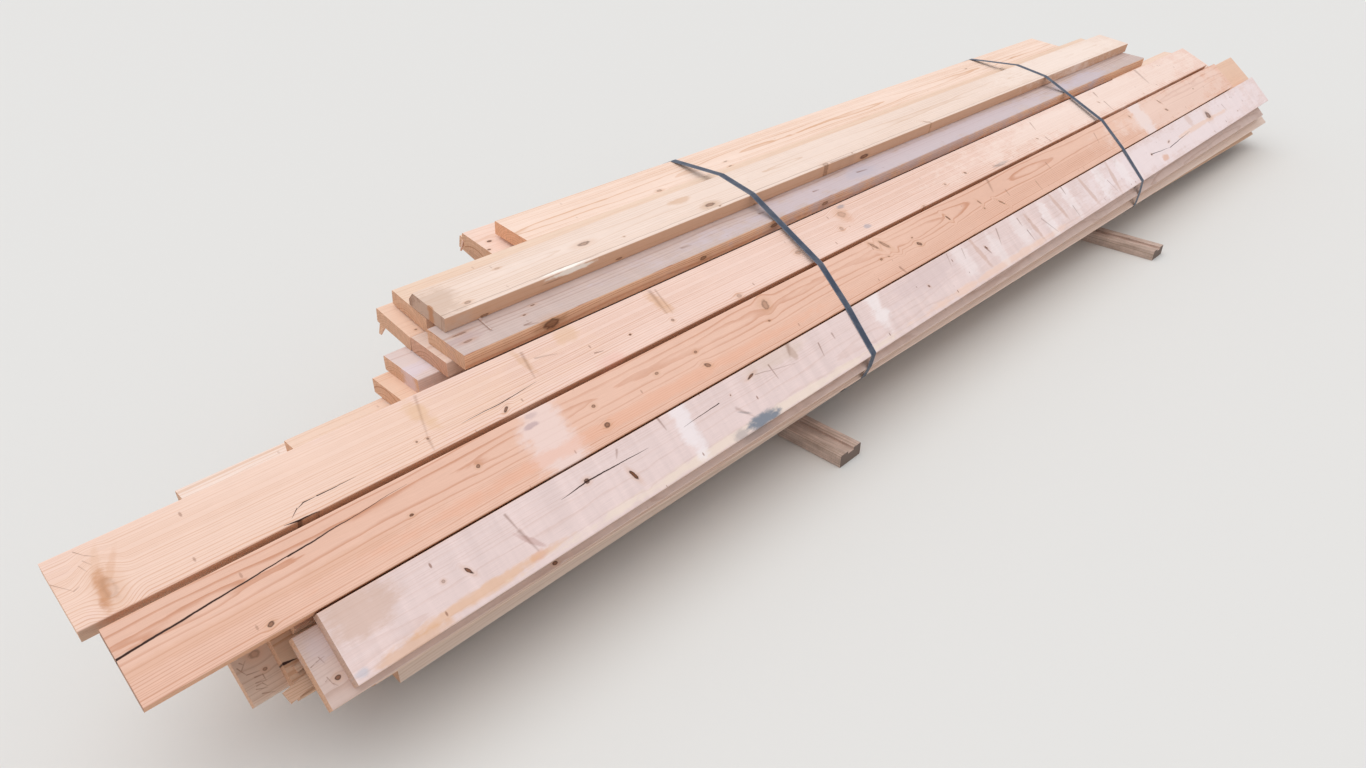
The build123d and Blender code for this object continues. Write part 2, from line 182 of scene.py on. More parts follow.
                  (1370, -66, 34, 18, 0, 0.35), (1513, -62, 8, 6, 0, 0.8), (1964, -60, 40, 10, -50, 0.3)),
        "edge_knots": ((102, -14, 30, 8, 0.6), (512, -11, 30, 8, 0.6), (1036, -16, 16, 8, 0.5),
                       (1577, -5, 60, 18, 0.75)),
        "streaks": ((1394, -66, 1526, -68, 5, 0.45), (330, -56, 250, -61, 2.5, 0.6), (330, -56, 450, -62, 2.5, 0.6),
                    (0, -57, 1500, -59, 2, 0.5), (900, -58, 3400, -60, 2.5, 0.5)),
        "stains_and_sheen": ((821, 23, 90, 30, 0, "#D8AE8C", 0.6), (874, -41, 90, 40, 0, "#D9BFA9", 0.5),
                   (20, -10, 140, 170, 0, "#CDB09C", 0.65), (0, -17, 10, 26, 0, "#B57A4E", 0.8),
                  # (3100, 0, 1200, ...) is a long pale patch over the far end: painted sheen
                  (346, -63, 170, 10, 0, "#FFF8EE", 0.9), (3100, 0, 1200, 170, 0, "#F8E6DA", 0.5)),
        "edge_stains": ((360, 11, 180, 14, "#FFF6EA", 0.9), (300, 2, 90, 5, "#8A6450", 0.5))},
    "upper_board_right": {
        "early": "#D3BEB6", "late": "#BC9F94", "pith": (40, -60), "ring": 5.6, "contrast": 1.0,
        # edge and edge_late are lighter here: painted light on the shaded right side, over the side's own orange tone
        "banding": 0.3, "edge": "#FFD2AE", "edge_late": "#CE8055",
        "knots": ((195, -22, 12, 6, 0, 0.85), (236, 0, 18, 7, 0, 0.7), (41, 5, 46, 8, 0, 0.5),
                  (39, -29, 30, 10, 0, 0.4)),
        "edge_knots": ((235, 3, 60, 30, 0.6), (739, -2, 34, 14, 0.6), (1031, 2, 40, 16, 0.6), (1267, 0, 38, 14, 0.55)),
        "streaks": ((1024, -16, 1051, -20, 5, 0.8), (1269, -20, 1295, -21, 5, 0.8), (1499, -18, 1544, -24, 6, 0.8),
                    (706, -22, 738, -27, 7, 0.5), (169, -56, 190, -56, 4, 0.8), (170, -57, 200, -68, 5, 0.5)),
        "stains_and_sheen": ((1900, -30, 2600, 120, 0, "#CFC2CB", 0.55), (42, -19, 110, 50, 0, "#B79A98", 0.45),
                   (1510, -26, 200, 60, 0, "#B9B3BE", 0.4),
                   (3100, -33, 500, 90, 0, "#C9BFCB", 0.5)),
        "edge_stains": ((235, 3, 110, 34, "#A06A48", 0.5),)},
    "upper_board_middle": {"early": "#EFD3BD", "late": "#E0B79A"},
    "upper_board_left": {
        "early": "#F8DDCC", "late": "#DFAE8A", "pith": (-20, -52), "ring": 4.6, "contrast": 0.9,
        "end_early": "#F2BA94", "end_late": "#C98A63",
        "knots": ((485, -60, 24, 13, 0, 0.4), (799, -34, 22, 6, 0, 0.5), (787, -66, 20, 6, 0, 0.65),
                  (2348, 11, 24, 6, 0, 0.6), (2671, -28, 24, 6, 0, 0.3))},
    "second_board_right": {"early": "#E8D0C2", "late": "#D3AE99", "end_early": "#D9AB91", "end_late": "#AC785C"},
    "second_board_middle": {"early": "#F0CDB6", "late": "#DBAC8C", "knots": ((27, -52, 9, 6, 0, 0.7),)},
    "second_board_left": {"early": "#F5D6C6", "late": "#E2B294",
                          "knots": ((32, -8, 16, 12, 0, 0.85), (6, -43, 13, 9, 0, 0.8))},
    "third_board_right": {"early": "#E5D3CE", "late": "#D1B5AB", "stains_and_sheen": ((18, -31, 120, 60, 0, "#E0D6E6", 0.4),)},
    "third_board_middle": {"early": "#EACDB8", "late": "#D3A78A"},
    "third_board_left": {"early": "#EFCCB4", "late": "#D7A37E"},
    "fourth_board_right": {"early": "#EFCBB3", "late": "#D7A380"},
    "fourth_board_middle": {"early": "#EBC8AE", "late": "#D19E7A"},
    "fourth_board_left": {"early": "#E9C6AC", "late": "#D09C78"},
}

# torn splinters: root and tip in metres, width, thickness, board
SPLINTERS = {
    "splinter_left_1": ((-1.872, 0.298, 0.446), (-1.880, 0.300, 0.420), 0.022, 0.009, "second_board_middle"),
    "splinter_left_2": ((-1.872, 0.286, 0.444), (-1.884, 0.290, 0.424), 0.016, 0.008, "second_board_middle"),
    "splinter_left_3": ((-1.500, 0.504, 0.476), (-1.507, 0.511, 0.446), 0.024, 0.008, "second_board_left"),
    "splinter_top": ((-1.754, 0.068, 0.4995), (-1.763, 0.010, 0.4975), 0.006, 0.002, "upper_board_right"),
}
SPLINTER_SIDES = 6
SPLINTER_TIP = 1 / 3

# tones of the marks in pine
KNOT_HALO, KNOT_CORE, KNOT_RIM = "#D09A70", "#7A4A2E", "#452616"
BRUISE, STREAK, SPLIT = "#8A5A42", "#7A4B30", "#35190B"
HALO_STRENGTH = 0.3

# depth of the marks in millimetres: those of the wide faces go right through, those of the right side don't
THROUGH = 2000.0
EDGE_KNOT_DEPTH = 24.0
EDGE_STAIN_DEPTH = 8.0

# how far noise pushes the rims of knots and stains, in half sizes, and lines and rings to the side, in metres
RAGGED_RIM = 0.9
LINE_WAVER = 0.006
RING_WAVER = 0.003

# how much of a line's width its blur is, the narrowest blur in millimetres, and how late the line thins out
STREAK_BLUR, SPLIT_BLUR, LEAST_BLUR = 0.6, 0.15, 0.5
LINE_TAPER = 0.6

# noise patterns: swells in a metre along, across and up, detail, roughness, and the span where most of noise lies
SLOW_WANDER = (0.8, 3.0, 3.0), 2.0, 0.5
FINE_WANDER = (7.0, 40.0, 40.0), 3.0, 0.5
RING_TONE = (1.5, 14.0, 14.0), 3.0, 0.5
RAGGED = (60.0, 130.0, 130.0), 4.0, 0.6
CLOUDY = (13.0, 26.0, 26.0), 2.0, 0.6
WAVY = (16.0, 16.0, 0.0), 5.0, 0.6
FIBRES = (18.0, 1100.0, 1100.0), 3.0, 0.6
PLANER_BANDS = (22.0, 2.5, 2.5), 4.0, 0.65
SAW_MARKS = (1.0, 260.0, 40.0), 3.0, 0.5
BATTEN_GRIME = (9.0, 30.0, 30.0), 6.0, 0.65
BATTEN_SAW_MARKS = (420.0, 12.0, 12.0), 3.0, 0.5
BATTEN_FIBRES = (20.0, 700.0, 700.0), 4.0, 0.5
NOISE_SPAN = 0.3, 0.7

# zones of a knot and of a patch (stain and painted sheen alike) in half sizes from the middle, and the share of the way
# by which grain is pulled
CORE_END, RIM_START, RIM_END = (0.45, 0.75), (0.35, 0.6), (0.6, 0.95)
HALO_END, PULL_END, PATCH_END = (0.5, 2.4), (0.0, 3.4), (0.5, 1.15)
KNOT_PULL = -0.85

# bruises: cells in a metre, which share of them stays empty, the largest reach in cells, and the blur of the rim
BRUISE_CELLS = (48.0, 22.0, 22.0)
BRUISE_GAPS, BRUISE_REACH, BRUISE_BLUR = 0.62, 0.16, 0.06

# painted highlight along the straps' edges: metres from the middle line at which it starts and is full, and by how much
# scuffs shift that
HIGHLIGHT_START, HIGHLIGHT_FULL, SCUFF_SHIFT = 0.0086, 0.0105, 0.006

# part of a year at which the late wood starts, is darkest and ends
LATE_START, LATE_FULL, LATE_END = 0.6, 0.92, 1.0

# spells of broad and of narrow years in a metre from the heart, and by how many rings they shift the count
YEAR_SPELLS, RING_DRIFT = 85.0, 3.0

# seeds of the noise: the first board's or course's and the step to the next, and the step inside a course
BOARD_SEED, BOARD_SEED_STEP = 2.0, 11.3
COURSE_SEED, COURSE_SEED_STEP = 400.0, 7.1
SEED_STEP_ACROSS = 3.7
BATTEN_SEEDS = {"batten_near": 5.3, "batten_far": 8.1}
LATH_SEED = 77.0
LATH_BOARD = "side_board_4"

# heart of the first course's logs, to the left and up in millimetres, and how much lower the next course's is
COURSE_PITH_LEFT, COURSE_PITH_UP, COURSE_PITH_DROP = 14, -40, 6

# the camera, in metres, degrees below level, degrees to the left of the boards' own way, and millimetres
CAMERA_PLACE = (-2.731, -1.517, 1.480)
CAMERA_DOWN, CAMERA_LEFT = 32.63, 44.147
CAMERA_LENS, CAMERA_SENSOR, CAMERA_REACH = 24.12, 36.0, 200.0

SUN_PLACE = (-2.0, 1.0, 5.0)
SUN_TILT = (radians(-5), radians(-14), 0.0)


def linear(code):
    """Turns an sRGB hex colour to the linear RGBA that Blender's sockets hold."""
    parts = [int(code[place:place + 2], 16) / 255 for place in (1, 3, 5)]
    return tuple(part / 12.92 if part <= 0.04045 else ((part + 0.055) / 1.055) ** 2.4 for part in parts) + (1.0,)


def node(tree, kind, *inputs, named=None, **settings):
    """Adds a node with its settings. An input given as a node or a socket is linked, any other is its value."""
    made = tree.nodes.new(kind if kind.startswith("Node") else "ShaderNode" + kind)
    for key, value in settings.items():
        setattr(made, key, value)
    for key, value in [*enumerate(inputs), *(named or {}).items()]:
        if isinstance(value, bpy.types.Node):
            value = value.outputs[0]
        if isinstance(value, bpy.types.NodeSocket):
            tree.links.new(value, made.inputs[key])
        elif value is not None:
            made.inputs[key].default_value = value
    return made


def number(tree, operation, *inputs, **settings):
    """Adds a Math node and gives its number."""
    return node(tree, "Math", *inputs, operation=operation, **settings).outputs[0]


def vector(tree, operation, *inputs):
    """Adds a Vector Math node and gives its vector, or its number where the operation makes one."""
    made = node(tree, "VectorMath", *inputs, operation=operation)
    return made.outputs["Value" if operation in ("LENGTH", "DISTANCE", "DOT_PRODUCT") else "Vector"]


def scaled(tree, value, factor):
    """A vector or a colour times a number."""
    return node(tree, "VectorMath", value, operation="SCALE", named={"Scale": factor}).outputs["Vector"]


def ramp(tree, value, low, high, start=0.0, end=1.0, smooth=False):
    """Runs from start to end while the value runs from low to high."""
    way = "SMOOTHSTEP" if smooth else "LINEAR"
    return node(tree, "MapRange", value, low, high, start, end, interpolation_type=way).outputs[0]


def blend(tree, factor, base, colour):
    """Mixes a colour over a base. Each is a hex code, a linear colour or a socket."""
    under, top = (linear(given) if isinstance(given, str) else given for given in (base, colour))
    return node(tree, "Mix", factor, data_type="RGBA", named={6: under, 7: top}).outputs[2]


def noise(tree, place, pattern, shift=(0.0, 0.0, 0.0)):
    """Noise of one of the patterns."""
    scale, detail, roughness = pattern
    stretched = vector(tree, "MULTIPLY_ADD", place, scale, shift)
    return node(tree, "TexNoise", stretched, named={"Scale": 1.0, "Detail": detail, "Roughness": roughness})


def centred_noise(tree, place, pattern):
    """Noise about zero."""
    return number(tree, "SUBTRACT", noise(tree, place, pattern), 0.5)


def wander(tree, place, pattern, shift):
    """Noise about zero that differs along each way."""
    return vector(tree, "SUBTRACT", noise(tree, place, pattern, shift).outputs["Color"], (0.5, 0.5, 0.5))


def facing(tree, way):
    """One where the surface faces along the given way or against it, and zero elsewhere."""
    turned_to = vector(tree, "DOT_PRODUCT", node(tree, "NewGeometry").outputs["Normal"], tuple(way))
    return ramp(tree, number(tree, "ABSOLUTE", turned_to), 0.7, 0.9)


def new_group(name, inputs, outputs):
    """An empty node group, given its sockets as name: kind. Gives its tree and what comes in."""
    tree = bpy.data.node_groups.new(name, "ShaderNodeTree")
    for in_out, sockets in (("INPUT", inputs), ("OUTPUT", outputs)):
        for title, kind in sockets.items():
            tree.interface.new_socket(title, in_out=in_out, socket_type="NodeSocket" + kind)
    return tree, node(tree, "NodeGroupInput").outputs


def use_group(tree, name, named):
    """Adds a node of a group that was made before."""
    return node(tree, "Group", node_tree=bpy.data.node_groups[name], named=named)


def growth_rings():
    """Rings of a log about a wandering heart. On a face they make flames and straight grain, on an end arcs."""
    tree, given = new_group(
        "Growth rings", {"Place": "Vector", "Seed": "Float", "Heart": "Vector", "Ring": "Float", "Wander": "Float"},
        {"Late": "Float", "Tone": "Float"})
    shift = node(tree, "CombineXYZ", given["Seed"], given["Seed"], given["Seed"])
    swing = node(tree, "CombineXYZ", 0.0, given["Wander"], given["Wander"])
    slow = vector(tree, "MULTIPLY", wander(tree, given["Place"], SLOW_WANDER, shift), swing)
    fine = wander(tree, given["Place"], FINE_WANDER, shift)
    from_heart = vector(tree, "SUBTRACT", given["Place"], given["Heart"])
    from_heart = vector(tree, "MULTIPLY_ADD", slow, (2.0, 2.0, 2.0), from_heart)
    from_heart = vector(tree, "MULTIPLY_ADD", fine, (0.0, RING_WAVER, RING_WAVER), from_heart)
    radius = vector(tree, "LENGTH", vector(tree, "MULTIPLY", from_heart, (0.0, 1.0, 1.0)))
    years_at = number(tree, "MULTIPLY_ADD", radius, YEAR_SPELLS, given["Seed"])
    years = node(tree, "TexNoise", noise_dimensions="1D", named={"W": years_at, "Scale": 1.0, "Detail": 1.0})
    count = number(tree, "MULTIPLY_ADD", years, RING_DRIFT, number(tree, "DIVIDE", radius, given["Ring"]))
    year = number(tree, "FRACT", count)
    rise = ramp(tree, year, LATE_START, LATE_FULL, smooth=True)
    fall = ramp(tree, year, LATE_FULL, LATE_END, 1.0, 0.0, smooth=True)
    tone = noise(tree, given["Place"], RING_TONE, shift)
    node(tree, "NodeGroupOutput", number(tree, "MULTIPLY", rise, fall), tone)


def from_spot(tree, given):
    """Way from a spot's centre, and its length in half sizes of the spot."""
    off = vector(tree, "SUBTRACT", given["Place"], given["Centre"])
    turned = node(tree, "VectorRotate", rotation_type="Z_AXIS", named={"Vector": off, "Angle": given["Turn"]})
    return off, vector(tree, "LENGTH", vector(tree, "DIVIDE", turned, given["Size"]))


def pine_knot():
    """A knot and the grain that bends round it. Core, Rim and Halo keep the strongest of the knots so far."""
    tree, given = new_group(
        "Pine knot", {"Place": "Vector", "Rough": "Float", "Core": "Float", "Rim": "Float", "Halo": "Float",
                      "Centre": "Vector", "Size": "Vector", "Turn": "Float", "Dark": "Float"},
        {"Place": "Vector", "Core": "Float", "Rim": "Float", "Halo": "Float"})
    off, far = from_spot(tree, given)
    far_rough = number(tree, "MULTIPLY_ADD", given["Rough"], RAGGED_RIM, far)
    core = number(tree, "MULTIPLY", ramp(tree, far_rough, *CORE_END, 1.0, 0.0, smooth=True), given["Dark"])
    rim_starts = ramp(tree, far_rough, *RIM_START, smooth=True)
    rim_ends = ramp(tree, far_rough, *RIM_END, 1.0, 0.0, smooth=True)
    rim = number(tree, "MULTIPLY", number(tree, "MULTIPLY", rim_starts, rim_ends), given["Dark"])
    halo = ramp(tree, far_rough, *HALO_END, 1.0, 0.0, smooth=True)
    pull = ramp(tree, far, *PULL_END, KNOT_PULL, 0.0, smooth=True)
    bent = vector(tree, "MULTIPLY_ADD", off, node(tree, "CombineXYZ", 0.0, pull, 0.0), given["Place"])
    strongest = [number(tree, "MAXIMUM", found, given[key]) for key, found in
                 (("Core", core), ("Rim", rim), ("Halo", halo))]
    node(tree, "NodeGroupOutput", bent, *strongest)


def grain_line():
    """A line along two points that narrows towards its end: a split or a streak."""
    tree, given = new_group(
        "Grain line", {"Place": "Vector", "Cover": "Float", "Start": "Vector", "Run": "Vector", "Width": "Float",
                       "Soft": "Float", "Strength": "Float"}, {"Cover": "Float"})
    off = vector(tree, "SUBTRACT", given["Place"], given["Start"])
    off = vector(tree, "MULTIPLY", off, (1.0, 1.0, 0.0))
    over = vector(tree, "DOT_PRODUCT", off, given["Run"])
    whole = vector(tree, "DOT_PRODUCT", given["Run"], given["Run"])
    share = number(tree, "DIVIDE", over, whole, use_clamp=True)
    away = vector(tree, "DISTANCE", off, scaled(tree, given["Run"], share))
    left = number(tree, "POWER", number(tree, "SUBTRACT", 1.0, share), LINE_TAPER)
    width = number(tree, "MULTIPLY", left, given["Width"])
    beyond = number(tree, "MULTIPLY_ADD", width, -0.5, away)
    inside = number(tree, "MULTIPLY", given["Soft"], -1.0)
    cover = ramp(tree, beyond, inside, given["Soft"], 1.0, 0.0, smooth=True)
    cover = number(tree, "MULTIPLY", cover, given["Strength"])
    node(tree, "NodeGroupOutput", number(tree, "MAXIMUM", cover, given["Cover"]))


def soft_patch():
    """A patch of another tone with a ragged edge."""
    tree, given = new_group(
        "Soft patch", {"Place": "Vector", "Rough": "Float", "Base": "Color", "Centre": "Vector", "Size": "Vector",
                       "Turn": "Float", "Patch colour": "Color", "Strength": "Float"}, {"Base": "Color"})
    far = number(tree, "MULTIPLY_ADD", given["Rough"], RAGGED_RIM, from_spot(tree, given)[1])
    cover = number(tree, "MULTIPLY", ramp(tree, far, *PATCH_END, 1.0, 0.0, smooth=True), given["Strength"])
    node(tree, "NodeGroupOutput", blend(tree, cover, given["Base"], given["Patch colour"]))


def board_place(name):
    """Middle of a board's near end, and the matrix whose rows run along it, across it to the left and up through it."""
    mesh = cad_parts[name].data
    areas = {}
    for face in mesh.polygons:
        way = tuple(round(part, 3) for part in face.normal)
        areas[way] = areas.get(way, 0.0) + face.area
    up = Vector(max((way for way in areas if way[2] > 0.5), key=lambda way: areas[way])).normalized()
    sides = [way for way in areas if way[1] > 0.5 and abs(Vector(way).dot(up)) < 0.05]
    left = Vector(max(sides, key=lambda way: areas[way])).normalized()
    turn = Matrix((left.cross(up), left, up))
    corners = [turn @ vertex.co for vertex in mesh.vertices]
    spans = [(min(corner[axis] for corner in corners), max(corner[axis] for corner in corners)) for axis in range(3)]
    return Vector((spans[0][0], sum(spans[1]) / 2, sum(spans[2]) / 2)), turn


def course_place(name, count):
    """Middle of the near end of a course's rightmost board, its matrix, and how far its boards are apart."""
    low, high = (Vector(corner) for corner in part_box(name))
    pitch = (high.y - low.y - BOARD_WIDTH) / (count - 1)
    return Vector((low.x, low.y + BOARD_WIDTH / 2, (low.z + high.z) / 2)), Matrix.Identity(3), pitch


def box_middle(name):
    """Middle of a node's box."""
    low, high = (Vector(corner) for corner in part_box(name))
    return (low + high) / 2


def spot_sockets(centre, size, turned):
    """Centre, half sizes and turn of a knot or stain, from millimetres and degrees."""
    return {"Centre": tuple(part * MM for part in centre), "Size": tuple(part * MM / 2 for part in size),
            "Turn": radians(-turned)}


def add_knots(tree, place, rough, look):
    """Knots of the wide faces and of the right side. Gives the bent place, core, rim and halo."""
    found = (place, 0.0, 0.0, 0.0)
    spots = [((along, across, 0.0), (length, width, THROUGH), turned, dark)
             for along, across, length, width, turned, dark in look["knots"]]
    spots += [((along, -BOARD_WIDTH / MM / 2, height), (length, EDGE_KNOT_DEPTH, width), 0.0, dark)
              for along, height, length, width, dark in look["edge_knots"]]
    for centre, size, turned, dark in spots:
        knot = use_group(tree, "Pine knot", {
            "Place": found[0], "Rough": rough, "Core": found[1], "Rim": found[2], "Halo": found[3],
            **spot_sockets(centre, size, turned), "Dark": dark})
        found = tuple(knot.outputs[key] for key in ("Place", "Core", "Rim", "Halo"))
    return found


def add_lines(tree, place, lines, blur):
    """How much of the face the given lines cover: along and across of both ends, width and strength."""
    cover = 0.0
    for near_along, near_across, far_along, far_across, width, strength in lines:
        cover = use_group(tree, "Grain line", {
            "Place": place, "Cover": cover, "Start": (near_along * MM, near_across * MM, 0.0),
            "Run": ((far_along - near_along) * MM, (far_across - near_across) * MM, 0.0), "Width": width * MM,
            "Soft": max(LEAST_BLUR, blur * width) * MM, "Strength": strength})
    return cover


def add_stains_and_sheen(tree, place, rough, colour, look):
    """Lays the board's stains, and the painted sheen over some far ends, over its colour."""
    spots = [((along, across, 0.0), (length, width, THROUGH), turned, patch_colour, strength)
             for along, across, length, width, turned, patch_colour, strength in look["stains_and_sheen"]]
    spots += [((along, -BOARD_WIDTH / MM / 2, height), (length, EDGE_STAIN_DEPTH, width), 0.0, patch_colour, strength)
              for along, height, length, width, patch_colour, strength in look["edge_stains"]]
    for centre, size, turned, patch_colour, strength in spots:
        colour = use_group(tree, "Soft patch", {
            "Place": place, "Rough": rough, "Base": colour, **spot_sockets(centre, size, turned),
            "Patch colour": linear(patch_colour), "Strength": strength})
    return colour


def fold_course(tree, place, seed, pitch):
    """Folds the place across a course onto its rightmost board, and gives each board a seed of its own."""
    parts = node(tree, "SeparateXYZ", place)
    count = number(tree, "ROUND", number(tree, "DIVIDE", parts.outputs["Y"], pitch))
    own_y = number(tree, "MULTIPLY_ADD", count, -pitch, parts.outputs["Y"])
    place = node(tree, "CombineXYZ", parts.outputs["X"], own_y, parts.outputs["Z"])
    return place, number(tree, "MULTIPLY_ADD", count, SEED_STEP_ACROSS, seed)


def wood_colour(tree, rings, turn, look):
    """Early and late wood by the rings, with other tones on the narrow sides where the look has them: partly the sides'
    own tone, partly painted shade and painted light.
    """
    late = ramp(tree, rings.outputs["Tone"], *NOISE_SPAN, look["contrast"] * 0.4, look["contrast"] * 1.4)
    late = number(tree, "MULTIPLY", rings.outputs["Late"], late)
    early_colour, late_colour = look["early"], look["late"]
    # narrow sides: their own tone, and on some boards painted shade in a gap between boards and painted light on sides
    # in shade
    if look["edge"]:
        on_edge = facing(tree, turn[1])
        early_colour = blend(tree, on_edge, early_colour, look["edge"])
        late_colour = blend(tree, on_edge, late_colour, look["edge_late"])
    colour = blend(tree, late, early_colour, late_colour)
    return blend(tree, ramp(tree, rings.outputs["Tone"], *NOISE_SPAN, 0.0, 0.22), colour, late_colour)


def planed_shade(tree, place, fibre, banding):
    """Light and dark of the fibres and of the marks that the planer and handling leave across the face."""
    band = noise(tree, place, PLANER_BANDS)
    band_tone = ramp(tree, band, 0.35, 0.65, 1.0 - 0.16 * banding, 1.0 + 0.05 * banding)
    return number(tree, "MULTIPLY", ramp(tree, fibre, *NOISE_SPAN, 0.93, 1.05), band_tone)


def sawn_end(tree, place, rings, look):
    """Colour of the sawn ends, which drink more light: orange brown, with the saw's marks across them."""
    late = ramp(tree, rings.outputs["Late"], 0.0, 1.0, 0.25, 1.0)
    saw = noise(tree, place, SAW_MARKS)
    colour = blend(tree, late, look["end_early"], look["end_late"])
    return scaled(tree, colour, ramp(tree, saw, *NOISE_SPAN, 0.86, 1.08))


def bruises(tree, place, strength):
    """How much of the face small torn and bruised places across the grain cover."""
    spots = node(tree, "TexVoronoi", vector(tree, "MULTIPLY", place, BRUISE_CELLS), named={"Scale": 1.0})
    pick = node(tree, "SeparateXYZ", spots.outputs["Color"])
    kept = number(tree, "GREATER_THAN", pick.outputs["X"], BRUISE_GAPS)
    reach = number(tree, "MULTIPLY", pick.outputs["Y"], BRUISE_REACH)
    depth = number(tree, "SUBTRACT", reach, spots.outputs["Distance"])
    return number(tree, "MULTIPLY", ramp(tree, depth, 0.0, BRUISE_BLUR, 0.0, strength), kept)


def new_material(name):
    """A material with an empty tree, and that tree."""
    material = bpy.data.materials.new(name)
    material.use_nodes = True
    material.node_tree.nodes.clear()
    return material, material.node_tree


def surface(tree, named):
    """The shader of a material, given its sockets."""
    node(tree, "OutputMaterial", node(tree, "BsdfPrincipled", named=named))


def placed(tree, origin, turn=(0.0, 0.0, 0.0)):
    """Object coordinates, turned and then counted from the origin."""
    return node(tree, "Mapping", node(tree, "TexCoord").outputs["Object"], tuple(-part for part in origin), turn)


def dressed_pine(name, look, seed, origin, turn, pitch=None):
    """Planed pine fresh from the mill: pale early wood, orange late wood, brown knots, and darker thirsty ends."""
    look = {**PLAIN, **look}
    material, tree = new_material("Dressed pine " + name.replace("_", " "))
    place = placed(tree, origin, tuple(turn.to_euler("XYZ")))
    if pitch:
        place, seed = fold_course(tree, place, seed, pitch)
    rough = centred_noise(tree, place, RAGGED)
    cloudy = centred_noise(tree, place, CLOUDY)
    cloudy = number(tree, "MULTIPLY_ADD", cloudy, 1.6, rough)
    bent, core, rim, halo = add_knots(tree, place, rough, look)
    rings = use_group(tree, "Growth rings", {
        "Place": bent, "Seed": seed, "Heart": (0.0, look["pith"][0] * MM, look["pith"][1] * MM),
        "Ring": look["ring"] * MM, "Wander": look["wander"] * MM})
    waver = number(tree, "MULTIPLY", centred_noise(tree, place, WAVY), LINE_WAVER)
    wavered = vector(tree, "ADD", place, node(tree, "CombineXYZ", 0.0, waver, 0.0))
    # fibres about a millimetre wide and many times as long
    fibre = noise(tree, place, FIBRES)
    shade = planed_shade(tree, place, fibre, look["banding"])
    colour = scaled(tree, wood_colour(tree, rings, turn, look), shade)
    colour = blend(tree, facing(tree, turn[0]), colour, sawn_end(tree, place, rings, look))
    colour = add_stains_and_sheen(tree, place, cloudy, colour, look)
    marks = []
    if look["knots"] or look["edge_knots"]:
        marks += [(number(tree, "MULTIPLY", halo, HALO_STRENGTH), KNOT_HALO), (core, KNOT_CORE), (rim, KNOT_RIM)]
    marks.append((bruises(tree, wavered, look["flecks"]), BRUISE))
    if look["streaks"]:
        marks.append((add_lines(tree, wavered, look["streaks"], STREAK_BLUR), STREAK))
    if look["splits"]:
        splits = [(*split, 1.0) for split in look["splits"]]
        marks.append((add_lines(tree, wavered, splits, SPLIT_BLUR), SPLIT))
    for cover, tone in marks:
        colour = blend(tree, cover, colour, tone)
    bump = node(tree, "Bump", named={"Strength": 0.35, "Distance": 0.0005, "Height": fibre})
    surface(tree, {"Base Color": colour, "Roughness": ramp(tree, rings.outputs["Late"], 0.0, 1.0, 0.68, 0.54),
                   "Normal": bump, "IOR": 1.5, "Specular IOR Level": 0.35})
    return material


def sawn_batten(name):
    """Rough-sawn softwood that has lain outdoors: brown-grey, with saw marks across and soil in its fibres."""
    material, tree = new_material("Sawn weathered batten " + name)
    parts = node(tree, "SeparateXYZ", placed(tree, box_middle(name)))
    place = node(tree, "CombineXYZ", parts.outputs["Y"], parts.outputs["X"], parts.outputs["Z"])
    rings = use_group(tree, "Growth rings", {
        "Place": place, "Seed": BATTEN_SEEDS[name], "Heart": (0.0, 0.01, -0.04), "Ring": 0.0042, "Wander": 0.01})
    colour = blend(tree, rings.outputs["Late"], "#D9C1B4", "#B39886")
    grime = noise(tree, place, BATTEN_GRIME)
    colour = blend(tree, ramp(tree, grime, 0.42, 0.68, 0.0, 0.6), colour, "#8C7768")
    colour = blend(tree, facing(tree, (0.0, 1.0, 0.0)), colour, "#7A6A61")
    saw = noise(tree, place, BATTEN_SAW_MARKS)
    relief = number(tree, "ADD", saw, noise(tree, place, BATTEN_FIBRES))
    colour = scaled(tree, colour, ramp(tree, relief, 0.6, 1.4, 0.82, 1.1))
    bump = node(tree, "Bump", named={"Strength": 0.7, "Distance": 0.001, "Height": relief})
    surface(tree, {"Base Color": colour, "Roughness": 0.85, "Normal": bump, "Specular IOR Level": 0.25})
    return material


def painted_strapping(name, settings):
    """Steel strapping with a dark coat: satin, with a lighter grey painted highlight along both edges, and dust on its
    flats.
    """
    material, tree = new_material("Painted steel strapping " + name)
    place = node(tree, "TexCoord").outputs["Object"]
    off = vector(tree, "SUBTRACT", place, tuple(box_middle(name)))
    across = (cos(settings.slant), -sin(settings.slant), 0.0)
    from_middle = number(tree, "ABSOLUTE", vector(tree, "DOT_PRODUCT", off, across))
    scuff = node(tree, "TexNoise", place, named={"Scale": 140.0, "Detail": 5.0, "Roughness": 0.7})
    # towards both edges the coat turns lighter grey: a painted highlight, its border made ragged by the scuff noise
    highlight_at = number(tree, "MULTIPLY_ADD", number(tree, "SUBTRACT", scuff, 0.5), SCUFF_SHIFT, from_middle)
    colour = blend(tree, ramp(tree, highlight_at, HIGHLIGHT_START, HIGHLIGHT_FULL, 0.0, 0.75), settings.coat, settings.edge_highlight)
    dust = node(tree, "TexNoise", place, named={"Scale": 22.0, "Detail": 6.0, "Roughness": 0.6})
    colour = blend(tree, ramp(tree, dust, 0.45, 0.75, 0.0, 0.35), colour, "#8F9096")
    bump = node(tree, "Bump", named={"Strength": 0.2, "Distance": 0.0002, "Height": scuff})
    surface(tree, {"Base Color": colour, "Roughness": 0.45, "Normal": bump, "Metallic": 0.15})
    return material


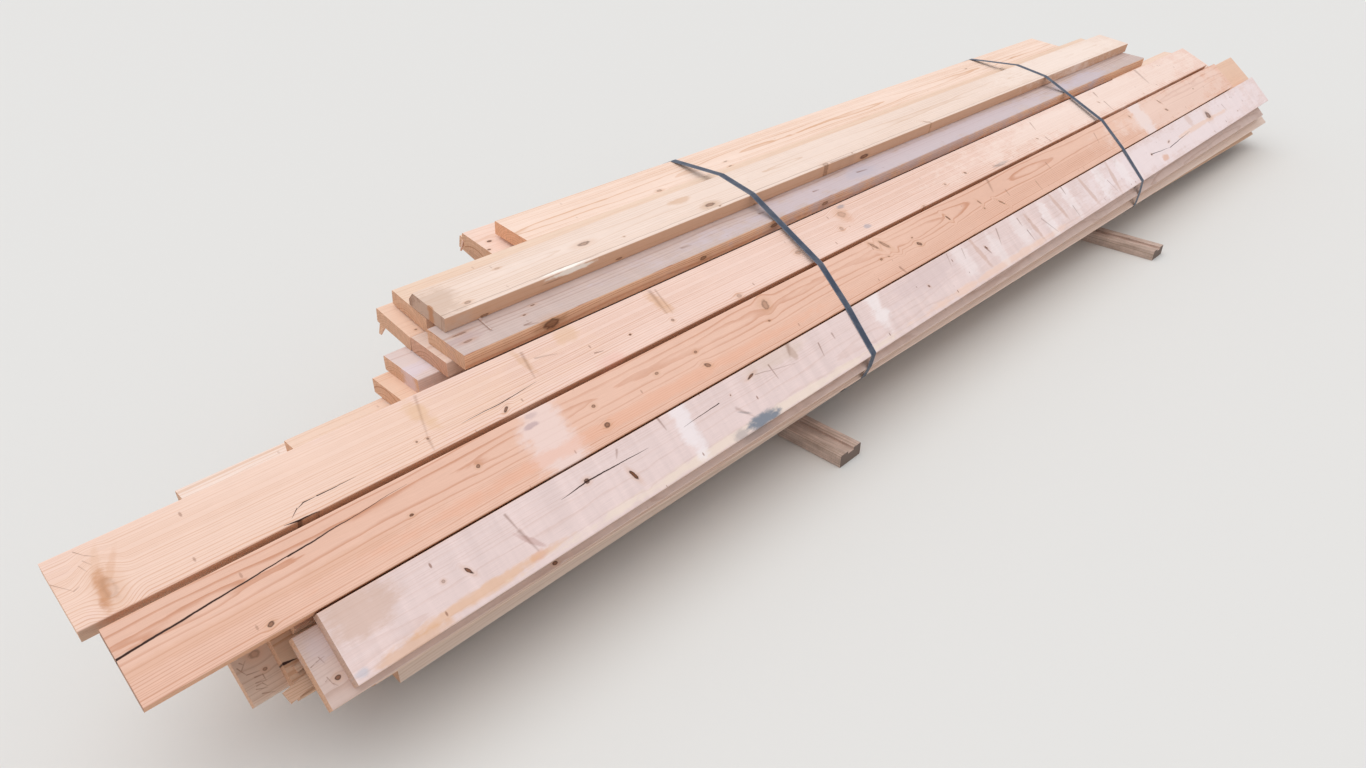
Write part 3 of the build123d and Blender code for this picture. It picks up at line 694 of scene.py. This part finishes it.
def splinter(name, start, end, width, thickness, board):
    """A torn flat splinter with a blunt tip, in the wood of its board."""
    start, end = Vector(start), Vector(end)
    way = end - start
    bpy.ops.mesh.primitive_cone_add(
        vertices=SPLINTER_SIDES, radius1=width / 2, radius2=width * SPLINTER_TIP, depth=way.length,
        location=(start + end) / 2, rotation=way.to_track_quat("Z", "Y").to_euler())
    made = bpy.context.object
    made.name = name
    made.scale = (1.0, thickness / width, 1.0)
    bpy.ops.object.transform_apply(location=True, rotation=True, scale=True)
    made.data.materials.append(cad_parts[board].material_slots[0].material)
    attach(made, "root")


def dress(name, material):
    """Gives a node of the frame its finish."""
    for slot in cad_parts[name].material_slots:
        slot.material = material


class StrapSettings(bpy.types.PropertyGroup):
    """Slant and coat of the straps."""
    slant: FloatProperty(name="Slant", description="Turn of the straps from square across", default=radians(7.0),
                         subtype="ANGLE")
    coat: StringProperty(name="Coat", description="sRGB colour of the coat", default="#3A4456")
    # colour of the painted highlight along both edges
    edge_highlight: StringProperty(name="Edge highlight", description="sRGB colour of the painted edge highlights", default="#7C8594")


class StageSettings(bpy.types.PropertyGroup):
    """Light and floor round the bundle."""
    sky: FloatProperty(name="Sky", description="Strength of the even light from all round", default=0.76)
    sun: FloatProperty(name="Soft sun", description="Strength of the broad lamp overhead", default=1.3)
    sun_angle: FloatProperty(name="Sun size", description="How wide the lamp looks", default=radians(70),
                             subtype="ANGLE")
    floor_size: FloatProperty(name="Floor", description="Width of the floor", default=120.0, unit="LENGTH")


class BUNDLE_OT_pine(bpy.types.Operator):
    """Gives every board its own dressed pine"""
    bl_idname = "bundle.pine"
    bl_label = "Dress the boards"

    def execute(self, context):
        for make_group in (growth_rings, pine_knot, grain_line, soft_patch):
            make_group()
        for count, (name, look) in enumerate(BOARDS.items()):
            dress(name, dressed_pine(name, look, BOARD_SEED_STEP * count + BOARD_SEED, *board_place(name)))
        for count, (name, (boards, early, late)) in enumerate(COURSES.items()):
            look = {"early": early, "late": late, "pith": (COURSE_PITH_LEFT, COURSE_PITH_UP - COURSE_PITH_DROP * count)}
            seed = COURSE_SEED_STEP * count + COURSE_SEED
            dress(name, dressed_pine(name, look, seed, *course_place(name, boards)))
        return {"FINISHED"}


class BUNDLE_OT_splinters(bpy.types.Operator):
    """Adds the torn splinters at the board ends"""
    bl_idname = "bundle.splinters"
    bl_label = "Add the splinters"

    def execute(self, context):
        for name, values in SPLINTERS.items():
            splinter(name, *values)
        return {"FINISHED"}


class BUNDLE_OT_battens(bpy.types.Operator):
    """Gives the battens and the offcuts their sawn wood"""
    bl_idname = "bundle.battens"
    bl_label = "Finish the battens"

    def execute(self, context):
        for name in BATTEN_SEEDS:
            dress(name, sawn_batten(name))
        look = {"early": "#D9B79E", "late": "#B58A6C", "ring": 2.6}
        dress("lath_offcuts", dressed_pine("lath_offcuts", look, LATH_SEED, *board_place(LATH_BOARD)))
        return {"FINISHED"}


class BUNDLE_OT_straps(bpy.types.Operator):
    """Paints the straps"""
    bl_idname = "bundle.straps"
    bl_label = "Paint the straps"

    def execute(self, context):
        for name in ("strap_near", "strap_far"):
            dress(name, painted_strapping(name, context.scene.strap_settings))
        return {"FINISHED"}


class BUNDLE_OT_stage(bpy.types.Operator):
    """Lays the pale floor and sets the light and the camera"""
    bl_idname = "bundle.stage"
    bl_label = "Set the stage"

    def execute(self, context):
        settings = context.scene.stage_settings
        bpy.ops.object.select_all(action="DESELECT")
        bpy.ops.mesh.primitive_plane_add(size=settings.floor_size, location=(0.0, 0.0, 0.0))
        floor = context.object
        floor.name = "floor"
        paper, tree = new_material("Pale studio floor")
        surface(tree, {"Base Color": linear("#DEDCD8"), "Roughness": 0.9, "Specular IOR Level": 0.1})
        floor.data.materials.append(paper)
        world = bpy.data.worlds.new("Soft sky")
        world.use_nodes = True
        sky = world.node_tree.nodes["Background"]
        sky.inputs["Color"].default_value = linear("#F4F6FA")
        sky.inputs["Strength"].default_value = settings.sky
        context.scene.world = world
        bpy.ops.object.light_add(type="SUN", location=SUN_PLACE, rotation=SUN_TILT)
        context.object.data.energy = settings.sun
        context.object.data.angle = settings.sun_angle
        heading = (radians(90 - CAMERA_DOWN), 0.0, radians(CAMERA_LEFT - 90))
        bpy.ops.object.camera_add(location=CAMERA_PLACE, rotation=heading)
        camera = context.object
        camera.data.sensor_width = CAMERA_SENSOR
        camera.data.lens = CAMERA_LENS
        camera.data.clip_end = CAMERA_REACH
        context.scene.camera = camera
        context.scene.view_settings.view_transform = "Standard"
        return {"FINISHED"}


class BUNDLE_PT_panel(bpy.types.Panel):
    """Lists the steps that finish the bundle"""
    bl_idname = "BUNDLE_PT_panel"
    bl_label = "Pine bundle"
    bl_space_type = "VIEW_3D"
    bl_region_type = "UI"
    bl_category = "Pine bundle"

    def draw(self, context):
        for name, kind in SETTINGS.items():
            for key in kind.__annotations__:
                self.layout.prop(getattr(context.scene, name), key)
        for step in STEPS:
            self.layout.operator(step.bl_idname)


SETTINGS = {"strap_settings": StrapSettings, "stage_settings": StageSettings}
STEPS = (BUNDLE_OT_pine, BUNDLE_OT_splinters, BUNDLE_OT_battens, BUNDLE_OT_straps, BUNDLE_OT_stage)


def register():
    for item in (*SETTINGS.values(), *STEPS, BUNDLE_PT_panel):
        bpy.utils.register_class(item)
    for name, kind in SETTINGS.items():
        setattr(bpy.types.Scene, name, PointerProperty(type=kind))


def unregister():
    for name in SETTINGS:
        delattr(bpy.types.Scene, name)
    for item in (BUNDLE_PT_panel, *reversed(STEPS), *SETTINGS.values()):
        bpy.utils.unregister_class(item)


def main():
    """Runs every step in order."""
    register()
    for step in STEPS:
        area, _, action = step.bl_idname.partition(".")
        getattr(getattr(bpy.ops, area), action)()


if __name__ == "__main__":
    main()
